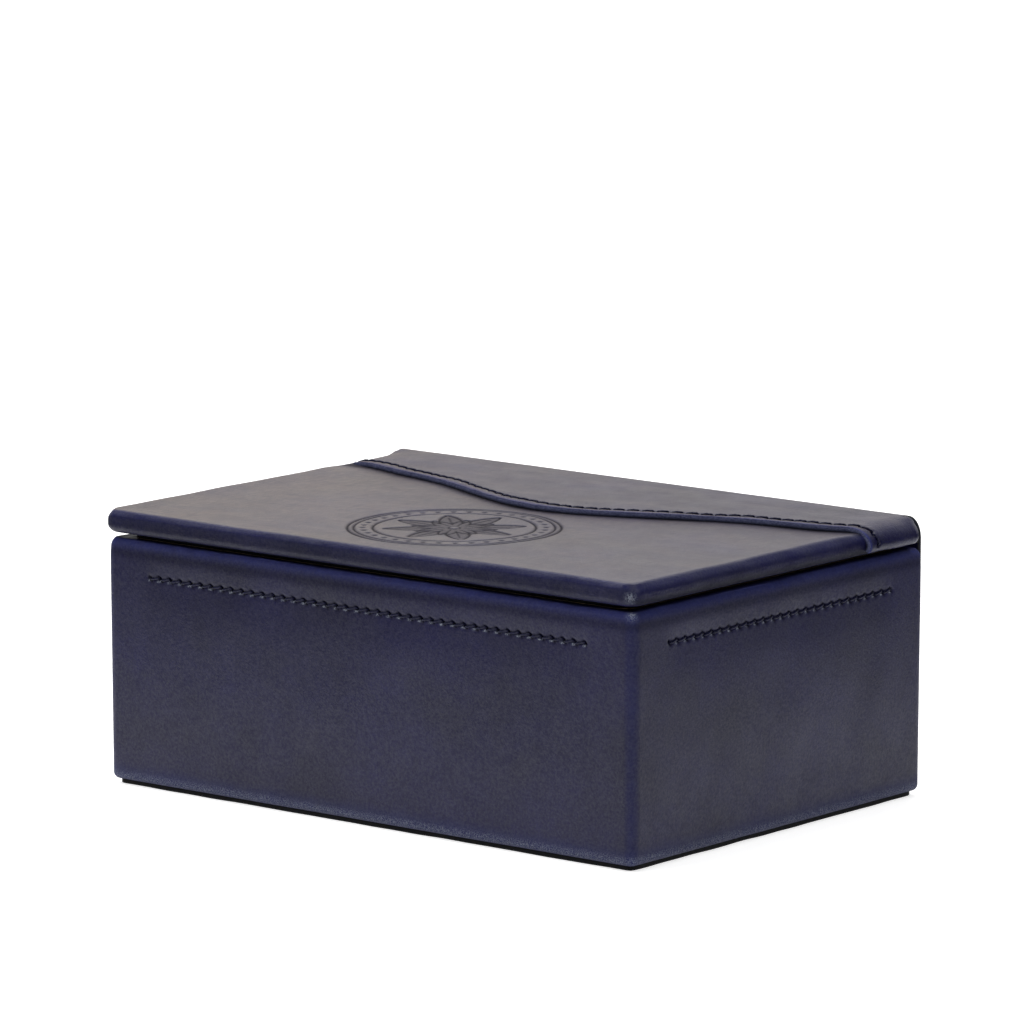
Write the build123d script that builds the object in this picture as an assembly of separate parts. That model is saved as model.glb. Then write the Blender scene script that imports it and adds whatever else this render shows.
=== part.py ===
"""Leather desk box: boards wrapped in leather, lined, with a sewn leather hinge along the back.

Millimetres. +X runs along the box's length to the right, -Y is the front, +Z is up.
The origin is the middle of the leather base panel's underside, on the table.
"""
from build123d import *
from math import atan2, ceil, cos, degrees, exp, radians, sin, sqrt, tan
import os

# Outside of the body, over its leather
box_length = 230.0
box_depth = 161.0
rim_height = 86.0
corner_radius = 4.0
rim_round = 2.8
rim_inner_round = 1.5
bottom_round = 3.0

# Leathers and boards
body_leather = 1.8
hem_leather = 1.2
rim_hem_depth = 12.0
bottom_hem_width = 14.0
wall_board = 5.0
floor_board = 5.0
seam_gap = 0.3

# Base panel, the leather sole that the box stands on
base_leather = 2.2
base_inset = 2.6
base_corner = 3.0

# Lining leather inside the body
lining_leather = 2.0
lining_below_rim = 4.0

# Lid
lid_leather = 1.8
lid_board_thickness = 4.5
lid_gap = 2.0
lid_overhang = 1.0
lid_setback = 4.5
lid_corner = 5.0
lid_top_round = 2.5
lid_low_round = 3.0
lid_hem_width = 12.0
lid_lining_inset = 4.0
lid_lining_rear_inset = 1.0
lid_lining_corner = 10.0

# Hinge leather: the overlay on the lid, its flaps, its drop behind the box and its lower half
hinge_leather = 2.0
hinge_side_inset = 3.5
hinge_bend_radius = 6.8
hinge_lower_reach = 24.0
crease_above_rim = 1.0
crease_half_angle = 35.0
crease_gap = 0.3
flap_above_lid_bottom = 2.0
flap_rear_inset = 3.0
overlay_side_margin = 2.5
overlay_side_edge = 41.0
overlay_tongue = 29.5
overlay_tongue_spread = 57.0
overlay_tongue_centre = 2.0
overlay_curve_points = 17

# Stitching
stitch_pitch = 4.75
stitch_length = 3.7
stitch_width = 0.8
stitch_depth = 0.7
stitch_slant = 12.0
channel_depth = 0.4
channel_width = 2.0
row_below_rim = 12.0
front_row_end_inset = 19.5
side_row_end_inset = 19.0
overlay_row_inset = 4.5
overlay_row_end_inset = 4.0

# Heights and half widths that follow from the sizes above
half_length = box_length / 2
half_depth = box_depth / 2
body_low = base_leather
board_low = body_low + hem_leather
board_top = rim_height - body_leather
board_half_length = half_length - body_leather
board_half_depth = half_depth - body_leather
inner_half_length = board_half_length - wall_board
inner_half_depth = board_half_depth - wall_board
hem_half_length = inner_half_length - hem_leather
hem_half_depth = inner_half_depth - hem_leather
lining_half_length = inner_half_length - lining_leather
lining_half_depth = inner_half_depth - lining_leather
rim_hem_low = rim_height - rim_hem_depth
floor_top = board_low + floor_board
lining_top = rim_height - lining_below_rim
row_height = rim_height - row_below_rim

lid_low = rim_height + lid_gap
lid_board_low = lid_low + hem_leather
lid_board_top = lid_board_low + lid_board_thickness
lid_top = lid_board_top + lid_leather
lid_half_length = half_length + lid_overhang
lid_front = -half_depth - lid_overhang
lid_rear = half_depth - lid_setback
lid_depth = lid_rear - lid_front
lid_middle = (lid_rear + lid_front) / 2

overlay_top = lid_top + hinge_leather
overlay_half_length = lid_half_length - overlay_side_margin
hinge_half_length = half_length - hinge_side_inset
hinge_inner = half_depth
hinge_outer = half_depth + hinge_leather
crease_depth = half_depth + hinge_leather / 2
crease_height = rim_height + crease_above_rim
crease_taper = hinge_leather / 2 / tan(radians(crease_half_angle))
bend_middle_y = hinge_outer - hinge_bend_radius
bend_middle_z = overlay_top - hinge_bend_radius

REACH = 2 * box_length


def rounded_block(length, depth, low, high, corner, top_round, low_round, middle=0.0):
    """A block with round upright corners and rolled upper and lower edges."""
    block = Pos(0, middle, (low + high) / 2) * Box(length, depth, high - low)
    block = fillet(block.edges().filter_by(Axis.Z), corner)
    block = fillet(block.faces().sort_by(Axis.Z)[-1].edges(), top_round)
    return fillet(block.faces().sort_by(Axis.Z)[0].edges(), low_round)


def span_box(x_low, x_high, y_low, y_high, z_low, z_high):
    """A plain box between two corners."""
    box = Box(x_high - x_low, y_high - y_low, z_high - z_low)
    return Pos((x_low + x_high) / 2, (y_low + y_high) / 2, (z_low + z_high) / 2) * box


def centred_box(half_x, half_y, z_low, z_high):
    """A plain box round the upright axis."""
    return span_box(-half_x, half_x, -half_y, half_y, z_low, z_high)


# The shared outlines that the pieces are cut from
body_outside = rounded_block(box_length, box_depth, body_low, rim_height, corner_radius, rim_round, bottom_round)
board_outside = rounded_block(
    2 * board_half_length, 2 * board_half_depth, board_low, board_top,
    corner_radius - body_leather, rim_round - body_leather, bottom_round - hem_leather)
lid_outside = rounded_block(
    2 * lid_half_length, lid_depth, lid_low, lid_top, lid_corner, lid_top_round, lid_low_round, lid_middle)


def row_positions(half_span):
    """Stitch middles along a straight row, evenly spaced about the row's middle."""
    gaps = ceil(2 * half_span / stitch_pitch)
    return [(index - gaps / 2) * 2 * half_span / gaps for index in range(gaps + 1)]


def stitch(place):
    """One thread stitch lying in its channel, a little slanted, with its length along local X."""
    body = Rot(0, 0, stitch_slant) * Box(stitch_length, stitch_width, stitch_depth)
    return place * Pos(0, 0, stitch_depth / 2 - channel_depth) * body


def wall_row(face_distance, half_span, turn):
    """The stitches of one wall's row, on the wall that faces turn degrees round from the front."""
    stitches = []
    for position in row_positions(half_span):
        place = Rot(0, 0, turn) * Pos(position, -face_distance, row_height) * Rot(90, 0, 0)
        stitches.append(stitch(place))
    return Compound(children=stitches)


def wall_channel(face_distance, half_span, turn):
    """The shallow channel that a wall's row lies in."""
    half = half_span + stitch_length / 2 + channel_width / 2
    channel = span_box(
        -half, half, -face_distance - channel_depth, -face_distance + channel_depth,
        row_height - channel_width / 2, row_height + channel_width / 2)
    return Rot(0, 0, turn) * channel


front_row_half = half_length - front_row_end_inset
side_row_half = half_depth - side_row_end_inset


# Body boards
def make_base_board():
    return centred_box(inner_half_length, inner_half_depth, board_low, floor_top)


def make_long_board(side):
    """Front (side -1) or back (side 1) board, over the whole length."""
    slab_low, slab_high = sorted((side * inner_half_depth, side * half_depth))
    return board_outside & span_box(-REACH, REACH, slab_low, slab_high, 0, rim_height)


def make_short_board(side):
    """Left (side -1) or right (side 1) board, between the front and back boards."""
    slab_low, slab_high = sorted((side * inner_half_length, side * half_length))
    return board_outside & span_box(slab_low, slab_high, -inner_half_depth, inner_half_depth, 0, rim_height)


# Outer leather of the body, one band with its rim and bottom hems turned in
def make_body_wrap():
    wrap = body_outside - board_outside
    wrap -= centred_box(hem_half_length, hem_half_depth, board_top - 1, rim_height + 1)
    window_half_length = half_length - bottom_hem_width
    window_half_depth = half_depth - bottom_hem_width
    wrap -= centred_box(window_half_length, window_half_depth, 0, board_low + 1)
    hem = centred_box(inner_half_length, inner_half_depth, rim_hem_low, board_top)
    hem -= centred_box(hem_half_length, hem_half_depth, 0, rim_height)
    wrap += hem
    mouth = wrap.edges().filter_by_position(Axis.Z, rim_height, rim_height)
    mouth = mouth.filter_by(lambda edge: abs(edge.center().X) < hem_half_length + 0.01)
    mouth = mouth.filter_by(lambda edge: abs(edge.center().Y) < hem_half_depth + 0.01)
    wrap = fillet(mouth, rim_inner_round)
    wrap -= span_box(-seam_gap / 2, seam_gap / 2, half_depth - bottom_hem_width - 1, half_depth + 1, 0, REACH)
    wrap -= wall_channel(half_depth, front_row_half, 0)
    wrap -= wall_channel(half_length, side_row_half, 90)
    wrap -= wall_channel(half_length, side_row_half, -90)
    return wrap


# Base panel, pared round its margin where it laps the bottom hem
def make_base_panel():
    plate = Pos(0, 0, base_leather / 2) * Box(box_length - 2 * base_inset, box_depth - 2 * base_inset, base_leather)
    plate = fillet(plate.edges().filter_by(Axis.Z), base_corner)
    plate += centred_box(half_length - bottom_hem_width, half_depth - bottom_hem_width, 0, board_low)
    return plate


# Linings, pared thinner where they lap the rim hem
def pare_over_hem(lining):
    hem_space = centred_box(inner_half_length, inner_half_depth, rim_hem_low, rim_height)
    hem_space -= centred_box(hem_half_length, hem_half_depth, 0, REACH)
    return lining - hem_space


def make_long_lining(side):
    """Front (side -1) or back (side 1) lining."""
    low, high = sorted((side * lining_half_depth, side * inner_half_depth))
    return pare_over_hem(span_box(-inner_half_length, inner_half_length, low, high, floor_top, lining_top))


def make_short_lining(side):
    """Left (side -1) or right (side 1) lining, between the long ones."""
    low, high = sorted((side * lining_half_length, side * inner_half_length))
    return pare_over_hem(span_box(low, high, -lining_half_depth, lining_half_depth, floor_top, lining_top))


def make_floor_lining():
    return centred_box(lining_half_length, lining_half_depth, floor_top, floor_top + lining_leather)


# Lid board and its leather
def make_lid_board():
    return rounded_block(
        2 * (lid_half_length - lid_leather), lid_depth - 2 * lid_leather, lid_board_low, lid_board_top,
        lid_corner - lid_leather, lid_top_round - lid_leather, lid_low_round - lid_leather, lid_middle)


def lid_window(low, high):
    """The space that the lid's hem leaves open on its underside."""
    return span_box(
        -lid_half_length + lid_hem_width, lid_half_length - lid_hem_width,
        lid_front + lid_hem_width, lid_rear - lid_hem_width, low, high)


def make_lid_cover():
    return lid_outside - make_lid_board() - lid_window(0, lid_board_low + 1)


def make_lid_lining():
    """The pale leather pad inside the lid, which rests on the rim and keeps the lid's gap."""
    half = half_length - lid_lining_inset
    front = -half_depth + lid_lining_inset
    rear = lid_rear - lid_lining_rear_inset
    pad = span_box(-half, half, front, rear, rim_height, lid_low)
    pad = fillet(pad.edges().filter_by(Axis.Z), lid_lining_corner)
    return pad + lid_window(rim_height, lid_board_low)


# Hinge leather
def tongue_edge(x):
    """Front edge of the overlay: a broad central tongue that reaches towards the lid's middle."""
    return overlay_side_edge - overlay_tongue * exp(-((x - overlay_tongue_centre) / overlay_tongue_spread) ** 2)


def tongue_slope(x):
    step = 0.01
    return (tongue_edge(x + step) - tongue_edge(x - step)) / (2 * step)


def inset_tongue(x, inset):
    """The tongue's edge moved inwards, measured square to the edge."""
    return tongue_edge(x) + inset * sqrt(1 + tongue_slope(x) ** 2)


def curve_across(half_width, inset):
    """A smooth line across the lid at an inset from the overlay's front edge."""
    spacing = 2 * half_width / (overlay_curve_points - 1)
    stations = [index * spacing - half_width for index in range(overlay_curve_points)]
    return Spline(*[(x, inset_tongue(x, inset)) for x in stations])


def make_overlay_top():
    """The overlay's flat part on the lid."""
    front = curve_across(overlay_half_length, 0)
    rear_y = lid_rear - flap_rear_inset
    start = front @ 0
    end = front @ 1
    sides = Polyline(end, (overlay_half_length, rear_y), (-overlay_half_length, rear_y), start)
    outline = make_face(front + sides)
    return Pos(0, 0, lid_top) * extrude(outline, hinge_leather)


def make_overlay_flap(side):
    """The part that rolls over the lid's side edge, on the left (side -1) or the right (side 1)."""
    roll_outer = lid_top_round + hinge_leather
    roll_z = lid_top - lid_top_round
    low = lid_low + flap_above_lid_bottom
    outer_x = lid_half_length + hinge_leather
    roll_x = lid_half_length - lid_top_round
    profile = Plane.XZ * make_face(
        Line((roll_x, lid_top), (roll_x, overlay_top))
        + CenterArc((roll_x, roll_z), roll_outer, 90, -90)
        + Polyline((outer_x, roll_z), (outer_x, low), (lid_half_length, low), (lid_half_length, roll_z))
        + CenterArc((roll_x, roll_z), lid_top_round, 0, 90))
    front = tongue_edge(overlay_half_length)
    rear = lid_rear - flap_rear_inset
    flap = extrude(profile, -(rear - front))
    flap = Pos(0, front, 0) * flap
    if side < 0:
        flap = mirror(flap, Plane.YZ)
    return flap


def make_hinge_drop():
    """The overlay's rear strip, which bends down behind the lid and thins to the crease."""
    inner_radius = hinge_bend_radius - hinge_leather
    front = lid_rear - flap_rear_inset
    tip = crease_height + crease_gap / 2
    shoulder = tip + crease_taper
    profile = make_face(
        Line((front, overlay_top), (bend_middle_y, overlay_top))
        + CenterArc((bend_middle_y, bend_middle_z), hinge_bend_radius, 90, -90)
        + Polyline((hinge_outer, bend_middle_z), (hinge_outer, shoulder), (crease_depth, tip),
                   (hinge_inner, shoulder), (hinge_inner, bend_middle_z))
        + CenterArc((bend_middle_y, bend_middle_z), inner_radius, 0, 90)
        + Polyline((bend_middle_y, lid_top), (front, lid_top), (front, overlay_top)))
    strip = extrude(Plane.YZ * profile, hinge_half_length, both=True)
    return strip


def overlay_channel():
    """The shallow channel of the overlay's row, along the tongue's edge."""
    half = overlay_half_length - overlay_row_end_inset
    near = curve_across(half, overlay_row_inset - channel_width / 2)
    far = curve_across(half, overlay_row_inset + channel_width / 2)
    outline = make_face(near + Line(near @ 1, far @ 1) + far + Line(far @ 0, near @ 0))
    return Pos(0, 0, overlay_top - channel_depth) * extrude(outline, 2 * channel_depth)


def make_hinge_overlay():
    overlay = make_overlay_top() + make_overlay_flap(-1) + make_overlay_flap(1) + make_hinge_drop()
    return overlay - overlay_channel()


def make_hinge_back():
    """The hinge leather's lower half, sewn to the outside of the back wall below the crease."""
    low = rim_height - hinge_lower_reach
    tip = crease_height - crease_gap / 2
    shoulder = tip - crease_taper
    profile = make_face(Polyline(
        (hinge_inner, low), (hinge_outer, low), (hinge_outer, shoulder),
        (crease_depth, tip), (hinge_inner, shoulder), (hinge_inner, low)))
    strip = extrude(Plane.YZ * profile, hinge_half_length, both=True)
    return strip - wall_channel(hinge_outer, front_row_half, 180)


def make_overlay_stitching():
    """The row that fastens the overlay to the lid, just inside the tongue's edge."""
    half = overlay_half_length - overlay_row_end_inset - stitch_length / 2 - channel_width / 2
    stitches = []
    for x in row_positions(half):
        angle = degrees(atan2(tongue_slope(x), 1))
        place = Pos(x, inset_tongue(x, overlay_row_inset), overlay_top) * Rot(0, 0, angle)
        stitches.append(stitch(place))
    return Compound(children=stitches)


PIECES = {
    "base_board": make_base_board(),
    "front_board": make_long_board(-1),
    "back_board": make_long_board(1),
    "left_board": make_short_board(-1),
    "right_board": make_short_board(1),
    "body_wrap": make_body_wrap(),
    "base_panel": make_base_panel(),
    "front_lining": make_long_lining(-1),
    "back_lining": make_long_lining(1),
    "left_lining": make_short_lining(-1),
    "right_lining": make_short_lining(1),
    "floor_lining": make_floor_lining(),
    "front_stitching": wall_row(half_depth, front_row_half, 0),
    "right_stitching": wall_row(half_length, side_row_half, 90),
    "back_stitching": wall_row(hinge_outer, front_row_half, 180),
    "left_stitching": wall_row(half_length, side_row_half, -90),
    "hinge_back": make_hinge_back(),
    "lid_board": make_lid_board(),
    "lid_cover": make_lid_cover(),
    "lid_lining": make_lid_lining(),
    "hinge_overlay": make_hinge_overlay(),
    "overlay_stitching": make_overlay_stitching(),
}

os.makedirs("parts", exist_ok=True)
for name, shape in PIECES.items():
    export_step(shape, f"parts/{name}.step")
    print(name, len(shape.solids()), "solids", round(shape.volume, 1), "mm3")
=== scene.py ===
"""The looks of the leather desk box: leather, thread, linings, light and camera round the fixed CAD frame.

Mesh code works in millimetres in the CAD frame, and points are scaled to metres when a mesh is made.
"""
import bmesh
import bpy
import numpy as np
from math import ceil, cos, pi, radians, sin, sqrt
from mathutils import Matrix, Vector
from mathutils.kdtree import KDTree


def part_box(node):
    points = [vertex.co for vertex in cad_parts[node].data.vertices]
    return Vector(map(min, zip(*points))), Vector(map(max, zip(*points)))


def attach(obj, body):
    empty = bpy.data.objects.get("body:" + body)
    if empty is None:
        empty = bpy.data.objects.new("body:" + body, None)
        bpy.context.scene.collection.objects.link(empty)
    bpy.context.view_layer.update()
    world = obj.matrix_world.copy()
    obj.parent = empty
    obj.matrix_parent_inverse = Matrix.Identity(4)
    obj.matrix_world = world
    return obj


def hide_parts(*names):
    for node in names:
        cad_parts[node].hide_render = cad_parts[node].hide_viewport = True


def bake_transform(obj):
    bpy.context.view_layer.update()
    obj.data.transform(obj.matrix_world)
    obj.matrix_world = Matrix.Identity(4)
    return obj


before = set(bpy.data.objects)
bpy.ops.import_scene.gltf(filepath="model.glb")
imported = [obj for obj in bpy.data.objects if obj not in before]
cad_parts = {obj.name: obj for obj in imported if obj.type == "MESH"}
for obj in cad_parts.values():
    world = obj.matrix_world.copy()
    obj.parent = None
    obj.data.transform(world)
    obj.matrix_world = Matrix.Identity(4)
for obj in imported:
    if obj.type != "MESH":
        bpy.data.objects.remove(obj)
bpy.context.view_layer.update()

MM = 0.001


def node_box(node):
    """Lowest and highest corner of a CAD node, in millimetres."""
    low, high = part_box(node)
    return np.array(low) / MM, np.array(high) / MM


# Sizes read from the frame
wrap_low, wrap_high = node_box("body_wrap")
lid_low, lid_high = node_box("lid_cover")
pad_low, pad_high = node_box("lid_lining")
panel_low, panel_high = node_box("base_panel")
drop_low, drop_high = node_box("hinge_back")
overlay_high = node_box("hinge_overlay")[1]
half_x, half_y, rim = wrap_high
body_low = wrap_low[2]
lid_half_x = lid_high[0]
lid_half_y = (lid_high[1] - lid_low[1]) / 2
lid_middle_y = (lid_high[1] + lid_low[1]) / 2
lid_under = lid_low[2]
lid_top = lid_high[2]
hinge_half = drop_high[0]
hinge_face = drop_high[1]
hinge_end = drop_low[2]
overlay_top = overlay_high[2]
flap_reach = overlay_high[0]

# Sizes that repeat the CAD part's named values
leather = 1.8
corner_radius = 4.0
rim_round = 2.8
rim_inner_round = 1.5
wall_thickness = 8.0
hem_leather = 1.2
rim_hem_depth = 12.0
bottom_hem_width = 14.0
lid_hem_width = 12.0
hinge_leather = 2.0
tongue_side = 41.0
tongue_reach = 29.5
tongue_spread = 57.0
tongue_middle = 2.0
stitch_pitch = 4.75
row_height = rim - 12.0

# Half lengths of the walls' stitch rows, one stitch shorter than the CAD part's, as the photograph shows them
front_row_half = half_x - 22.3
side_row_half = half_y - 21.8

# Round edges and bends as the photograph shows them, where they differ from the CAD part's
lid_corner = 6.0
lid_low_round = 2.8
lid_front_round = 1.8
lid_side_round = 3.4
hinge_bend = 9.2
flap_widest_height = 91.3
foot_low = 1.8
foot_round = 2.3


# Shared tools for shapes

def waves(seed, shortest, longest, count=14):
    """Smooth, repeatable unevenness made of sine waves: a function of points, mostly between -1 and 1."""
    random = np.random.default_rng(seed)
    lengths = np.exp(random.uniform(np.log(shortest), np.log(longest), count))
    directions = random.normal(size=(count, 3))
    directions /= np.linalg.norm(directions, axis=1)[:, None]
    phases = random.uniform(0, 2 * pi, count)

    def value(points):
        total = np.zeros(points.shape[:-1])
        for length, direction, phase in zip(lengths, directions, phases):
            total += np.sin(points @ direction * (2 * pi / length) + phase)
        return total / sqrt(count / 2)

    return value


def ease(value, low, high):
    """Smooth step from 0 at low to 1 at high."""
    t = np.clip((value - low) / (high - low), 0, 1)
    return t * t * (3 - 2 * t)


def bell(distance, width):
    """A smooth hump of height 1 that fades over the given width."""
    return np.exp(-(distance / width) ** 2)


def grid_faces(rows, columns, closed=False, flip=False):
    """Quads of points stored row by row, joined round their columns where closed."""
    last = columns if closed else columns - 1
    row, column = np.meshgrid(np.arange(rows - 1), np.arange(last), indexing="ij")
    after = (column + 1) % columns
    this_row = row * columns
    next_row = this_row + columns
    corners = [this_row + column, this_row + after, next_row + after, next_row + column]
    if flip:
        corners.reverse()
    return np.stack(corners, axis=-1).reshape(-1, 4)


class Shape:
    """Points, faces and named marks (one value a point for the material), gathered part by part."""

    def __init__(self):
        self.points = []
        self.faces = []
        self.marks = {}
        self.count = 0

    def add(self, points, faces, **marks):
        points = np.asarray(points).reshape(-1, 3)
        for name in set(self.marks) | set(marks):
            values = np.broadcast_to(np.asarray(marks.get(name, 0.0), float).ravel(), (len(points),))
            self.marks.setdefault(name, [np.zeros(self.count)] if self.count else []).append(values)
        self.points.append(points)
        for face in faces:
            self.faces.append([int(index) + self.count for index in face])
        self.count += len(points)

    def make(self, name, body, materials, replaced=(), weld=False, sharp=40, thick=None):
        """The finished object, which rides on its body where one is named."""
        mesh = bpy.data.meshes.new(name)
        mesh.from_pydata((np.concatenate(self.points) * MM).tolist(), [], self.faces)
        for mark, values in sorted(self.marks.items()):
            layer = mesh.attributes.new(mark, "FLOAT", "POINT")
            layer.data.foreach_set("value", np.concatenate(values).astype(np.float32))
        if weld:
            work = bmesh.new()
            work.from_mesh(mesh)
            bmesh.ops.remove_doubles(work, verts=work.verts, dist=0.02 * MM)
            work.to_mesh(mesh)
            work.free()
        for material in materials:
            mesh.materials.append(material)
        item = bpy.data.objects.new(name, mesh)
        bpy.context.scene.collection.objects.link(item)
        if thick:
            thicken(item, thick)
        item.data.shade_smooth()
        item.data.set_sharp_from_angle(angle=radians(sharp))
        if body:
            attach(item, body)
        if replaced:
            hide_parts(*replaced)
        return item


def thicken(item, thickness):
    """Thickens a sheet below its drawn face, with soft cut edges; the mark named under grows with depth."""
    solid = item.modifiers.new("thickness", "SOLIDIFY")
    solid.thickness = thickness * MM
    solid.offset = -1
    solid.material_offset_rim = 1
    soften = item.modifiers.new("soft_cut", "BEVEL")
    soften.limit_method = "ANGLE"
    soften.angle_limit = radians(55)
    soften.width = 0.22 * MM
    soften.segments = 2
    bpy.context.view_layer.update()
    graph = bpy.context.evaluated_depsgraph_get()
    final = bpy.data.meshes.new_from_object(
        item.evaluated_get(graph), preserve_all_data_layers=True, depsgraph=graph)
    final.name = item.name
    drawn = KDTree(len(item.data.vertices))
    for vertex in item.data.vertices:
        drawn.insert(vertex.co, vertex.index)
    drawn.balance()
    under = [min(1.0, drawn.find(vertex.co)[2] / (thickness * MM)) for vertex in final.vertices]
    final.attributes.new("under", "FLOAT", "POINT").data.foreach_set("value", under)
    item.modifiers.clear()
    item.data = final


def side_steps(length, pitch, focus=None, fine=None):
    """Fractions along one side, with finer steps over a stretch of it."""
    if focus is None:
        return np.linspace(0, 1, round(length / pitch) + 1)
    low, high = focus
    parts = [
        np.linspace(0, low, max(2, round(low / pitch)), endpoint=False),
        np.linspace(low, high, max(2, round((high - low) / fine)), endpoint=False),
        np.linspace(high, length, max(2, round((length - high) / pitch)) + 1)]
    return np.concatenate(parts) / length


def ring_stations(steps, corner_steps=14):
    """Places round a rounded rectangle: shares of its core, -1 to 1 each way, and outward directions."""
    corners = np.array([(-1, -1), (1, -1), (1, 1), (-1, 1)], float)
    shares = []
    normals = []
    for index in range(4):
        start = corners[index]
        end = corners[(index + 1) % 4]
        turn = -pi / 2 + index * pi / 2
        shares.append(start + steps[index][:, None] * (end - start))
        normals.append(np.repeat([[cos(turn), sin(turn)]], len(steps[index]), axis=0))
        turns = turn + np.linspace(0, pi / 2, corner_steps + 1)[1:-1]
        shares.append(np.repeat([end], len(turns), axis=0))
        normals.append(np.stack([np.cos(turns), np.sin(turns)], axis=1))
    return np.concatenate(shares), np.concatenate(normals)


def sweep(stations, reach, radius, inset, height, middle_y=0.0):
    """Carries profile rows round a rounded rectangle; a row has one inset and height, or one a station."""
    shares, normals = stations
    inset = np.broadcast_to(inset, (len(inset), len(shares)))
    height = np.broadcast_to(height, inset.shape)
    core = np.array(reach) - np.maximum(radius, inset)[..., None]
    flat = shares * core + normals * np.maximum(radius - inset, 0)[..., None]
    return np.concatenate([flat + np.array([0, middle_y]), height[..., None]], axis=-1)


def run(start, end, pitch):
    """Profile points from start up to but not at end."""
    start = np.array(start, float)
    end = np.array(end, float)
    count = max(1, round(np.linalg.norm(end - start) / pitch))
    return [start + (end - start) * i / count for i in range(count)]


def bend(middle, radius, start, end, steps):
    """Profile points (inset, height) on an arc; 0 degrees faces outward and 90 up."""
    turns = np.radians(np.linspace(start, end, steps + 1))
    return [np.array([middle[0] - radius * cos(t), middle[1] + radius * sin(t)]) for t in turns]


# Materials

def colour(values):
    """A colour written as it looks on screen, 0 to 255, made linear."""
    linear = [v / 255 / 12.92 if v <= 10 else ((v / 255 + 0.055) / 1.055) ** 2.4 for v in values]
    return (*linear, 1.0)


class Nodes:
    """Short calls that add and join the shader nodes of one material."""

    def __init__(self, name):
        self.material = bpy.data.materials.new(name)
        self.material.use_nodes = True
        self.tree = self.material.node_tree
        self.tree.nodes.clear()
        self.out = self.new("OutputMaterial")
        self.place = self.new("TexCoord").outputs["Object"]

    def new(self, kind):
        return self.tree.nodes.new("ShaderNode" + kind)

    def join(self, value, socket):
        if isinstance(value, bpy.types.NodeSocket):
            self.tree.links.new(value, socket)
        else:
            socket.default_value = value

    def scaled(self, size, stretch):
        """Object place in units of a feature size in millimetres, stretched along each axis."""
        node = self.new("Mapping")
        node.inputs["Scale"].default_value = [1 / (size * MM * s) for s in stretch]
        self.join(self.place, node.inputs["Vector"])
        return node.outputs["Vector"]

    def noise(self, size, detail=4.0, roughness=0.5, stretch=(1, 1, 1), distortion=0.0):
        node = self.new("TexNoise")
        node.inputs["Scale"].default_value = 1.0
        node.inputs["Detail"].default_value = detail
        node.inputs["Roughness"].default_value = roughness
        node.inputs["Distortion"].default_value = distortion
        self.join(self.scaled(size, stretch), node.inputs["Vector"])
        return node.outputs["Fac"]

    def cells(self, size, feature="F1", stretch=(1, 1, 1)):
        node = self.new("TexVoronoi")
        node.feature = feature
        node.inputs["Scale"].default_value = 1.0
        self.join(self.scaled(size, stretch), node.inputs["Vector"])
        return node.outputs["Distance"]

    def mark(self, name):
        node = self.new("Attribute")
        node.attribute_name = name
        return node.outputs["Fac"]

    def math(self, operation, *values):
        node = self.new("Math")
        node.operation = operation
        for value, socket in zip(values, node.inputs):
            self.join(value, socket)
        return node.outputs["Value"]

    def times(self, *values):
        return self.math("MULTIPLY", *values)

    def times_add(self, *values):
        return self.math("MULTIPLY_ADD", *values)

    def spread(self, value, low, high, to_low=0.0, to_high=1.0):
        """Maps value from low..high to to_low..to_high, held at both ends."""
        node = self.new("MapRange")
        self.join(value, node.inputs["Value"])
        node.inputs["From Min"].default_value = low
        node.inputs["From Max"].default_value = high
        node.inputs["To Min"].default_value = to_low
        node.inputs["To Max"].default_value = to_high
        return node.outputs["Result"]

    def blend(self, factor, first, second):
        """A colour between first and second."""
        node = self.new("Mix")
        node.data_type = "RGBA"
        self.join(factor, node.inputs[0])
        for value, name in ((first, "A"), (second, "B")):
            socket = next(s for s in node.inputs if s.name == name and s.type == "RGBA")
            self.join(value if isinstance(value, bpy.types.NodeSocket) else colour(value), socket)
        return next(s for s in node.outputs if s.type == "RGBA")

    def bump(self, height, strength, distance):
        node = self.new("Bump")
        node.inputs["Strength"].default_value = strength
        node.inputs["Distance"].default_value = distance * MM
        self.join(height, node.inputs["Height"])
        return node.outputs["Normal"]

    def surface(self, base, roughness, normal, specular, **fixed):
        shader = self.new("BsdfPrincipled")
        self.join(base, shader.inputs["Base Color"])
        self.join(roughness, shader.inputs["Roughness"])
        self.join(normal, shader.inputs["Normal"])
        self.join(specular, shader.inputs["Specular IOR Level"])
        for name, value in fixed.items():
            self.join(value, shader.inputs[name.replace("_", " ")])
        self.tree.links.new(shader.outputs["BSDF"], self.out.inputs["Surface"])
        return self.material


navy = (28, 27, 75)
navy_dark = (19, 18, 52)
navy_wear_and_highlight = (43, 51, 116)
near_black = (3, 4, 8)
pale_raw_and_highlight = (176, 184, 200)


def leather_grain(nodes, size=1.0):
    """Height of fine full-grain leather: small cells, pores and soft creases."""
    cell = nodes.spread(nodes.cells(0.62 * size, "SMOOTH_F1"), 0.1, 0.75)
    crease = nodes.noise(1.3 * size, 5, 0.6, distortion=0.6)
    fine = nodes.noise(0.22 * size, 3, 0.6)
    height = nodes.times_add(cell, 0.45, nodes.times(crease, 0.55))
    return nodes.times_add(fine, 0.3, height)


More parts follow.
